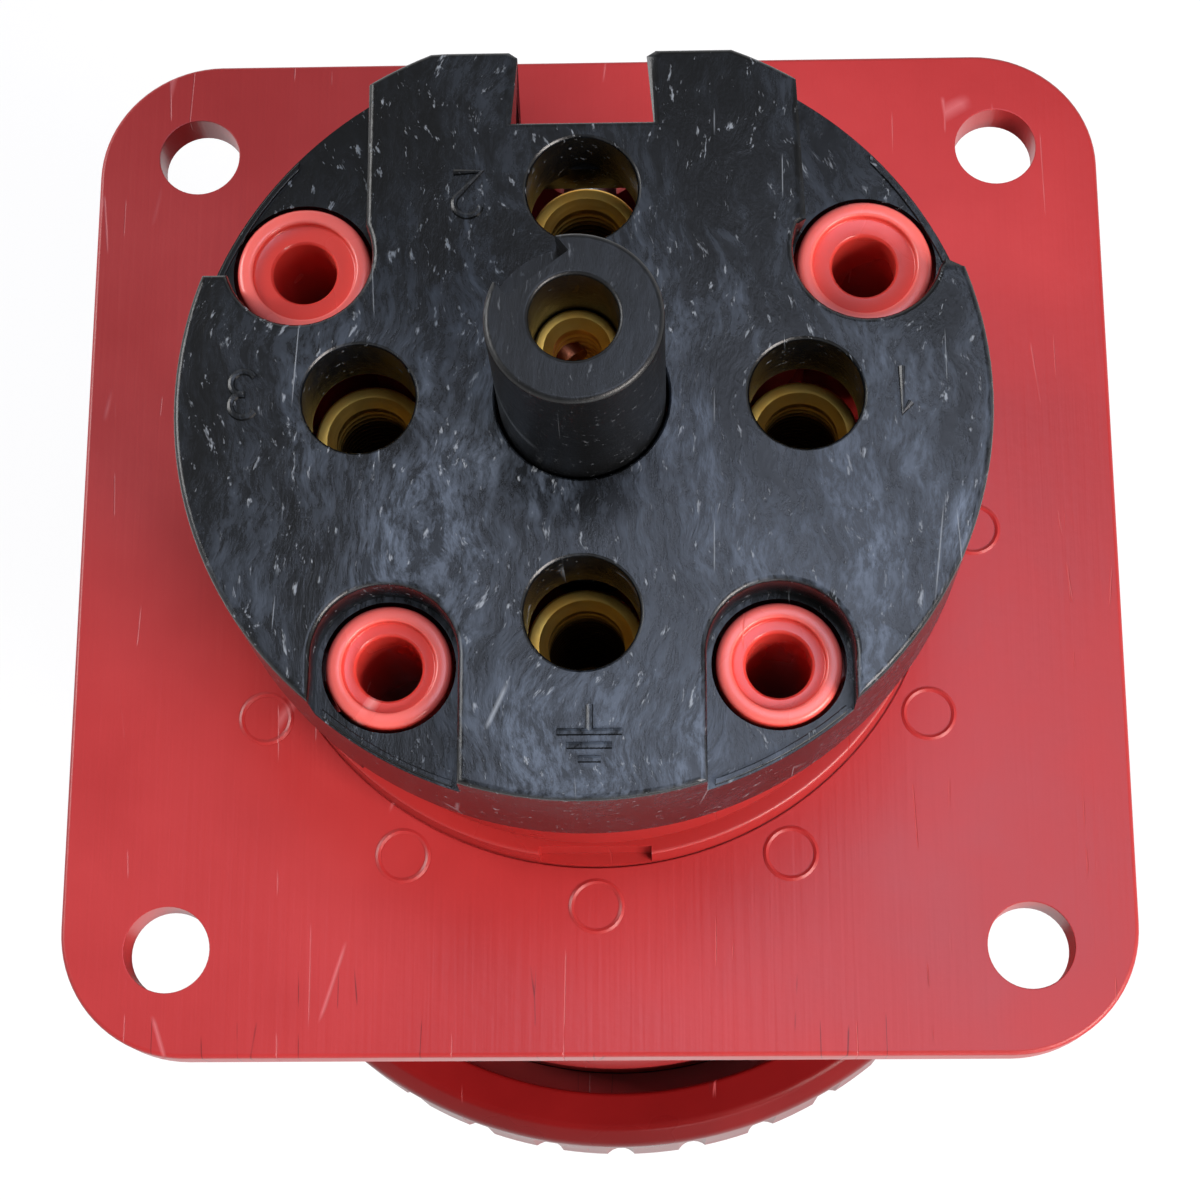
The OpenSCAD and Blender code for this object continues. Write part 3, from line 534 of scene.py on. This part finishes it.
# %% Metals and rubber
def metal(name, colour, dark, rough, ring_pitch=0.0, well=None):
    tree, shader, place = start(name)
    spots = add(tree, "ShaderNodeTexNoise", Vector=place, Scale=260.0, Detail=4.0).outputs[0]
    base = ramp(tree, spots, (0.36, dark), (0.60, colour))
    if well:
        # Painted shade: below the well height the brass is painted dark brown, inside the tapped bores.
        height = add(tree, "ShaderNodeSeparateXYZ", Vector=place).outputs["Z"]
        painted_shade_depth = add(tree, "ShaderNodeMapRange", Value=height, From_Min=well, From_Max=well - 0.003).outputs[0]
        base = add(tree, "ShaderNodeMix", {"data_type": "RGBA"}, i0=painted_shade_depth, i6=base, i7=linear("#4A3210")).outputs[2]
    tree.links.new(base, shader.inputs["Base Color"])
    uneven = add(tree, "ShaderNodeMapRange", Value=spots, From_Min=0.3, From_Max=0.7, To_Min=rough + 0.1,
                 To_Max=rough - 0.05).outputs[0]
    tree.links.new(uneven, shader.inputs["Roughness"])
    stretch = (60, 60, 1 / ring_pitch if ring_pitch else 60)
    grain = add(tree, "ShaderNodeMapping", Vector=place, Scale=stretch).outputs[0]
    lines = add(tree, "ShaderNodeTexNoise", Vector=grain, Scale=1.0 if ring_pitch else 30.0, Detail=3.0).outputs[0]
    bump = add(tree, "ShaderNodeBump", Height=lines, Distance=0.00004, Strength=1.0)
    tree.links.new(bump.outputs[0], shader.inputs["Normal"])
    shader.inputs["Metallic"].default_value = 1.0
    return shader


metal("turned_brass", "#FFD470", "#F6BE58", 0.46, ring_pitch=0.00035, well=0.0266)
metal("copper_screw_metal", "#D89A7C", "#A4644A", 0.28)
metal("zinc_plated_steel", "#C9CDD2", "#9FA4AA", 0.30)
metal("bare_spring_steel", "#A9ABAF", "#77797D", 0.32)
tree, rubber, place = start("gasket_rubber")
dust = add(tree, "ShaderNodeTexNoise", Vector=place, Scale=500.0, Detail=3.0).outputs[0]
tree.links.new(ramp(tree, dust, (0.4, "#16171A"), (0.7, "#2B2C30")), rubber.inputs["Base Color"])
bump = add(tree, "ShaderNodeBump", Height=dust, Distance=0.00005, Strength=1.0)
tree.links.new(bump.outputs[0], rubber.inputs["Normal"])
rubber.inputs["Roughness"].default_value = 0.62
print(len(MATERIALS), "materials")

# %% [markdown]
# ## Flange and shroud
# One moulding: a 100 mm square plate with round corners and four bolt holes, and a round shroud that
# guards the pins. The plate is a box with its four corners bevelled. The shroud is turned and joined to
# it, and one turned tool then clears the inside of both. On the plate's face stand the faint rings that
# ejector pins leave, twelve of them on a 36 mm circle.

# %% Flange and shroud
def make_flange():
    plate = block("plate", (-50, -50, -4), (50, 50, 0))
    bm = alone(plate, "EDGE")
    pick(bm, bm.edges, lambda p: abs(abs(p.x) - 50) < 0.01 and abs(abs(p.y) - 50) < 0.01)
    bpy.ops.mesh.bevel(offset=12, segments=20)
    alone()
    soften(plate, 0.45, lambda p: p.z > -0.1)
    soften(plate, 0.3, lambda p: p.z < -3.9)
    carve(plate, turned("shroud", [(0, -2), (44, -2), (44, -80, 0.4), (43, -80), (43, -97, 0.5), (0, -97)],
                        sides=128, closed=False), how="UNION")
    carve(plate, turned("cavity", [(0, 3), (32.6, 3), (32.6, -0.3), (32.2, -0.3), (32.2, -1.2), (30.6, -1.2),
                                   (30.6, -10), (40, -10, 0.8), (40, -99), (0, -99)], sides=128, closed=False))
    carve(plate, joined(*[drum("hole", 4, -9, 5, (x, y), 48) for x in (-40, 40) for y in (-40, 40)]))
    soften(plate, 0.3, lambda p: p.z > -0.01 and max(abs(p.x), abs(p.y)) < 45 and p.xy.length > 40, steps=2)
    soften(plate, 0.12, lambda p: p.z > -0.01 and p.xy.length < 35, steps=2)
    soften(plate, 0.5, lambda p: abs(p.z + 97) < 0.01 and p.xy.length < 41)
    carve(plate, block("keyway", (-4.5, -41.8, -98), (4.5, -38, -16)))
    carve(plate, joined(*[block("lug_pocket", (min(41.95 * s, 46 * s), -3.8, -93.45), (max(41.95 * s, 46 * s), 3.8, -89.85))
                          for s in (-1, 1)]))
    return plate


flange = make_flange()
rings = [turned("ejector_ring", [(2.1, -0.5), (2.1, 0.04), (2.35, 0.16), (2.6, 0.04), (2.6, -0.5)], sides=32,
                at=polar(36.2, 30 * k)) for k in range(12)]
carve(flange, joined(*rings), how="UNION")
finish_piece(flange, "moulded_flange", "socket", "red_plastic", "red_polyamide", "flange_housing", "shroud")

# %% [markdown]
# ## Contact carrier
# A coral cup that holds the brass contacts apart: a collar with a flat, a thin round wall, four hollow
# posts for the cord grip's screws, and ribs between the contacts. Cup and posts are turned, and the
# posts' mouths have a shallow step with a rolled edge.

# %% Contact carrier
UPPER, LOWER = (23.75, 12.84), (15.87, -21.84)
POSTS = [(UPPER, 5.7), ((-UPPER[0], UPPER[1]), 5.7), (LOWER, 5.15), ((-LOWER[0], LOWER[1]), 5.15)]


def make_carrier():
    cup = turned("cup", [(0, 8), (28.6, 8, 0.5), (28.6, 31.7, 0.3), (31, 31.7, 0.3), (31, 4.3), (32.5, 4.3, 0.35),
                         (32.5, -0.3), (30.4, -0.3), (30.4, -10, 0.4), (0, -10)], sides=128, closed=False)
    carve(cup, block("flat", (-5.15, -34, 0.6), (5.15, -31.3, 5)))
    carve(cup, block("notch", (-8.35, 0, 22), (8.35, 34, 40)))
    for (x, y), r in POSTS:
        angle = degrees(atan2(y, x))
        carve(cup, block("rib", (9, -1, 7), (26, 1, 28), turn=angle), how="UNION")
        low = drum("post_low", r - 0.02, 7.5, 24, (x, y))
        carve(low, drum("limit", 30.98, 0, 40, sides=128), how="INTERSECT")
        top = turned("post_top", [(0, 23.9), (r, 23.9), (r, 35.4, 0.5), (r - 1.3, 35.4, 0.25), (r - 1.3, 34.7, 0.2),
                                  (0, 34.7)], sides=64, at=(x, y), closed=False)
        carve(cup, low, how="UNION")
        carve(cup, top, how="UNION")
        carve(cup, turned("bore", [(0, 12), (2.7, 12), (2.7, 34.4), (2.78, 34.58), (2.96, 34.72), (2.96, 40), (0, 40)],
                          sides=48, at=(x, y), closed=False))
    for angle in (0, 90, 180, -90):
        carve(cup, drum("seat", 5.2, -11, 9, polar(18.4, angle)))
        carve(cup, rod("access", 3.6, (*polar(27, angle), 18), (*polar(34, angle), 18)))
    carve(cup, drum("seat", 5.2, -11, 9))
    return cup


finish_piece(make_carrier(), "moulded_carrier", "socket", "carrier_plastic", "coral_carrier_plastic",
             "contact_carrier")

# %% [markdown]
# ## Terminal cover
# The black cover is the first thing the eye meets: a raised top with a recess at each post, four wire
# entries, a hole for the pilot's tube and a notch between two square ends. A turned cap is cut with
# the recesses. The upper ones end at the rim, the lower ones are U-shaped and open downwards. Every
# rim of the raised top is then rolled over, and a thin lip follows the recess floors' outer edge.

# %% Terminal cover
def make_cover():
    cap = turned("cap", [(0, 39), (33.7, 39), (33.7, 24, 0.25), (31.2, 24, 0.25), (31.2, 32), (0, 32)], sides=160,
                 closed=False)
    for side in (-1, 1):
        ux, uy = UPPER[0] * side, UPPER[1]
        carve(cap, drum("round_recess", 6.2, 35, 41, (ux, uy)))
        x0, x1 = sorted((18.15 * side, 40 * side))
        carve(cap, block("side_recess", (x0, uy, 35), (x1, 40, 41.1)))
        x0, x1 = sorted((ux, 40 * side))
        carve(cap, block("tip_recess", (x0, 11.14, 35), (x1, 20, 41.2)))
        lx, ly = LOWER[0] * side, LOWER[1]
        carve(cap, drum("round_recess", 5.95, 35, 41, (lx, ly)))
        carve(cap, block("low_recess", (lx - 5.95, -40, 35), (lx + 5.95, ly, 41.1)))
    carve(cap, block("top_cut", (-40, 31.2, 10), (40, 45, 50)))
    carve(cap, block("notch", (-6.05, 24.6, 10), (6.05, 45, 50)))
    for (x, y), r in POSTS:
        carve(cap, drum("post_hole", r + 0.35, 20, 50, (x, y)))
    for r, at in [(4.7, polar(18.4, angle)) for angle in (0, 90, 180, -90)] + [(7.1, (0, 0))]:
        carve(cap, turned("entry", [(0, 20), (r, 20), (r, 38.7), (r + 0.12, 38.9), (r + 0.35, 39.05), (r + 0.35, 50),
                                    (0, 50)], sides=64, at=at, closed=False))
    lip = turned("lip", [(33.0, 34.9), (33.0, 35.28, 0.1), (33.5, 35.28, 0.1), (33.5, 34.9)], sides=160)
    fields = joined(*[block("field", low, high) for low, high in (
        ((24.5, 11.6, 34), (40, 30.8, 36)), ((-40, 11.6, 34), (-24.5, 30.8, 36)),
        ((10.6, -40, 34), (21.2, -25, 36)), ((-21.2, -40, 34), (-10.6, -25, 36)))])
    carve(cap, carve(lip, fields, how="INTERSECT"), how="UNION")
    for angle in (51, -129):
        carve(cap, block("hook", (31.25, -1.8, 20), (33.4, 1.8, 25), turn=angle), how="UNION")
    carve(cap, block("chamber_wall", (-8.05, 22.9, 29), (8.05, 24.55, 33)), how="UNION")
    holes = [(polar(18.4, angle), 5.6) for angle in (0, 90, 180, -90)] + [((0, 0), 8)]

    def top_edge(p):
        return p.z > 38.98 and all((p.xy - Vector(c)).length > r for c, r in holes)

    bm = alone(cap, "VERT")
    pick(bm, bm.verts, top_edge)
    bpy.ops.mesh.remove_doubles(threshold=0.31)
    soften(cap, 0.55, top_edge, steps=3)
    soften(cap, 0.2, lambda p: abs(p.z - 35) < 0.02 and p.xy.length > 33, steps=2)
    return cap


cover = make_cover()
finish_piece(cover, "moulded_cover", "socket", "black_plastic", "scuffed_and_sheen_black_polyamide", "terminal_cover")

# %% [markdown]
# ## Pilot tube
# The tube stands up through the cover and keeps the pilot contact out of reach. Its end is a broad flat
# ring with rolled edges, with a notch where the screwdriver for the pilot's screw goes past.

# %% Pilot tube
def make_tube():
    tube = turned("tube", [(3.45, 8), (8.3, 8), (8.3, 11, 0.4), (6.9, 11), (6.9, 56.6, 0.5), (3.45, 56.6, 0.35)],
                  sides=96)
    carve(tube, block("notch", (4.5, -3, 53.4), (12, 3, 60), turn=128))
    direction = polar(1, 128)
    carve(tube, rod("screw_hole", 2.05, (direction[0] * 2, direction[1] * 2, 45),
                    (direction[0] * 12, direction[1] * 12, 45)))
    soften(tube, 0.2, lambda p: 53.3 < p.z < 56.7 and p.xy.length > 4.4 and
           (p.xy - Vector(direction) * 5.7).length < 3.6, steps=2)
    return tube


finish_piece(make_tube(), "pilot_tube_moulding", "socket", "black_plastic", "black_polyamide", "pilot_tube")

# %% [markdown]
# ## Brass contacts
# Each contact is turned from bar: a barrel for the wire with a tapped bore, and a slit sleeve for the
# plug's pin. The thread is drawn as grooves 0.9 mm apart, cut into the profile before it is spun.

# %% Brass contacts
def make_contact(name, at, back_r, back_z, bore_r, depth, sleeve_r, pin_r, body_slot, screw_angle=None, base=None):
    grooves = []
    z = back_z - 1.6
    while z > back_z - depth + 0.6:
        grooves += [(bore_r, z), (bore_r + 0.35, z - 0.3), (bore_r, z - 0.6)]
        z -= 0.9
    head = [(back_r, -10), (back_r, back_z, 0.25), (bore_r + 0.75, back_z), (bore_r, back_z - 0.7)]
    if base:
        head = [(base[0], -10), (base[0], base[1], 0.2), (back_r, base[1])] + head[1:]
    tail = [(bore_r, back_z - depth), (0, back_z - depth - 1)]
    front = [(0, -28.5), (pin_r, -28.5), (pin_r, -71.0), (pin_r + 0.35, -71.5), (pin_r + 0.9, -71.5, 0.15),
             (pin_r + 0.9, -67.8), (sleeve_r, -67.8, 0.3), (sleeve_r, -60.4), (sleeve_r - 0.8, -60.4),
             (sleeve_r - 0.8, -59.2), (sleeve_r, -59.2), (sleeve_r, -10, 0.3)]
    contact = turned(name, front + head + grooves + tail, sides=64, closed=False)
    for angle in (45, 135):
        carve(contact, block("slit", (-20, -0.6, -73), (20, 0.6, -43.5), turn=angle))
    if screw_angle is not None:
        carve(contact, rod("tapped_hole", 2.5, (0, 0, 18), (back_r + 3, 0, 18)))
        contact.data.transform(Matrix.Rotation(radians(screw_angle), 4, "Z"))
    contact.data.transform(Matrix.Translation((at[0], at[1], 0)))
    return finish_piece(contact, name + "_turning", "socket", body_slot, "turned_brass", name)


for number, angle in ((1, 0), (2, 90), (3, 180)):
    make_contact(f"line_contact_{number}", polar(18.4, angle), 5, 28, 3.25, 20.5, 6, 4.03, "contact_brass", angle)
make_contact("earth_contact", polar(18.4, -90), 5, 28, 3.25, 20.5, 7, 5.03, "contact_brass", -90)
make_contact("pilot_contact", (0, 0), 3.4, 49.6, 1.9, 12, 4.6, 3.03, "contact_brass", None, (5, 13.8))

# %% [markdown]
# ## Locking ring
# The ring turns on the shroud's end and pulls the lid tight. It is a turned band with 36 thumb
# flutes. All flutes are cut at once by one object made of 36 rods.

# %% Locking ring
def make_ring():
    band = turned("band", [(46.4, -86, 0.5), (50.8, -86, 0.6), (52.8, -88.5, 0.8), (52.8, -104, 0.5),
                           (51.3, -105.5, 0.4), (44.2, -105.5, 0.4), (44.2, -102, 0.3), (46.4, -102)], sides=216)
    carve(band, joined(*[drum("flute", 2.2, -107, -90.5, polar(54.1, 10 * k), 24) for k in range(36)]))
    soften(band, 0.25, lambda p: p.xy.length > 51.3 and p.z < -90, steps=2)
    return band


finish_piece(make_ring(), "fluted_locking_ring", "locking_ring", "ring_plastic", "ring_polyamide", "locking_ring")

# %% [markdown]
# ## Lid
# The lid is a turned disc with a seat for the gasket and a hollow for the pins' tips. Its arm reaches out
# to the hinge and ends in two knuckles, with the spring between them.

# %% Lid
def make_lid():
    lid = turned("lid", [(0, -104.2), (35.9, -104.2, 0.6), (35.9, -98.2, 0.4), (39.8, -98.2), (39.8, -99.5),
                         (43.0, -99.5), (43.0, -98.2), (45.9, -98.2, 0.3), (45.9, -101.7, 0.3), (43.9, -101.7),
                         (43.9, -105.7), (42.2, -105.7), (42.2, -107.3), (43.9, -107.3), (43.9, -108.0, 0.3),
                         (41.9, -110, 0.5), (0, -110)], sides=160, closed=False)
    arm = block("arm", (-11.6, 36, -110), (11.6, 66, -107.9))
    soften(arm, 0.5, lambda p: p.z < -109 or p.z > -108)
    leg = block("leg", (-11.6, 54, -109.9), (11.6, 66, -86))
    carve(leg, block("leg_top", (-11.6, 54.5, -87), (11.6, 65.5, -80)), how="UNION")
    carve(leg, rod("knuckle", 5.5, (-11.6, 60, -80), (11.6, 60, -80), sides=48), how="UNION")
    carve(leg, block("gap", (-4, 40, -86), (4, 80, -60)))
    carve(leg, rod("pin_hole", 2.05, (-20, 60, -80), (20, 60, -80)))
    soften(leg, 0.4, lambda p: p.z < -86.5 and (abs(abs(p.x) - 11.6) < 0.05 or p.z < -109))
    carve(lid, arm, leg, how="UNION")
    return lid


finish_piece(make_lid(), "moulded_lid", "lid", "red_plastic", "red_polyamide", "lid")

# %% [markdown]
# ## Parts that keep their CAD shape
# The small hidden parts are already right. They keep their CAD solids and only get a real finish.

# %% Finishes for the CAD parts
for node, material in {
        "hinge_bracket": "red_polyamide", "socket_face": "black_polyamide", "terminal_screw_1": "zinc_plated_steel",
        "terminal_screw_2": "zinc_plated_steel", "terminal_screw_3": "zinc_plated_steel",
        "earth_screw": "zinc_plated_steel", "pilot_screw": "copper_screw_metal",
        "contact_springs": "bare_spring_steel", "assembly_screws": "zinc_plated_steel",
        "carrier_seal": "gasket_rubber", "lid_gasket": "gasket_rubber", "ring_ledges": "zinc_plated_steel",
        "ring_retainer": "bare_spring_steel", "hinge_pin": "zinc_plated_steel", "pin_clips": "bare_spring_steel",
        "lid_spring": "bare_spring_steel"}.items():
    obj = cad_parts[node]
    obj.data.materials.clear()
    obj.data.materials.append(MATERIALS[material])
print("CAD parts finished")

# %% [markdown]
# ## Raised marks
# Each wire entry has its number, and the earth entry its sign. They are thin curves with a round section
# of 0.6 mm, half sunk in the cover's top, so that they stand 0.3 mm proud.

# %% Raised marks
def stroke(points, r=0.3):
    curve = bpy.data.curves.new("stroke", "CURVE")
    curve.dimensions = "3D"
    curve.bevel_depth, curve.bevel_resolution, curve.use_fill_caps = r, 2, True
    line = curve.splines.new("POLY")
    line.points.add(len(points) - 1)
    for spot, (x, y) in zip(line.points, points):
        spot.co = (x, y, 0, 1)
    obj = bpy.data.objects.new("stroke", curve)
    bpy.context.collection.objects.link(obj)
    alone(obj)
    bpy.ops.object.convert(target="MESH")
    return obj


def arc(cx, cy, r, a0, a1, steps=14, squash=1.0):
    return [(cx + r * cos(radians(a0 + (a1 - a0) * k / steps)),
             cy + squash * r * sin(radians(a0 + (a1 - a0) * k / steps))) for k in range(steps + 1)]


FIGURES = {"1": [[(-0.7, 1.1), (0, 2), (0, -2)]],
           "2": [arc(0, 0.85, 1.15, 165, -25) + [(-1.15, -2), (1.2, -2)]],
           "3": [arc(0, 0.95, 1.05, 150, -90, 12) + arc(0, -0.95, 1.05, 90, -150, 12)]}


def place_marks(name, strokes, at, turn=180):
    made = []
    for points in strokes:
        piece = stroke(points)
        piece.data.transform(Matrix.Translation((at[0], at[1], 39.0)) @ Matrix.Rotation(radians(turn), 4, "Z"))
        made.append(piece)
    return finish_piece(joined(*made), name, "socket", "black_plastic", "scuffed_and_sheen_black_polyamide")


place_marks("figure_2", FIGURES["2"], (-9.6, 18.0))
place_marks("figure_3", FIGURES["3"], (-27.9, 0.4))
place_marks("figure_1", FIGURES["1"], (26.2, 0.2))
place_marks("earth_sign", [[(0, 2.2), (0, 0)], [(-2.6, 0), (2.6, 0)], [(-1.8, -1.1), (1.8, -1.1)],
                           [(-0.9, -2.2), (0.9, -2.2)]], (0.6, -28.2), turn=0)

# %% [markdown]
# ## Colour management
# The Standard view transform shows a colour as it is written.

# %% Finish
bpy.context.scene.view_settings.view_transform = "Standard"
alone()
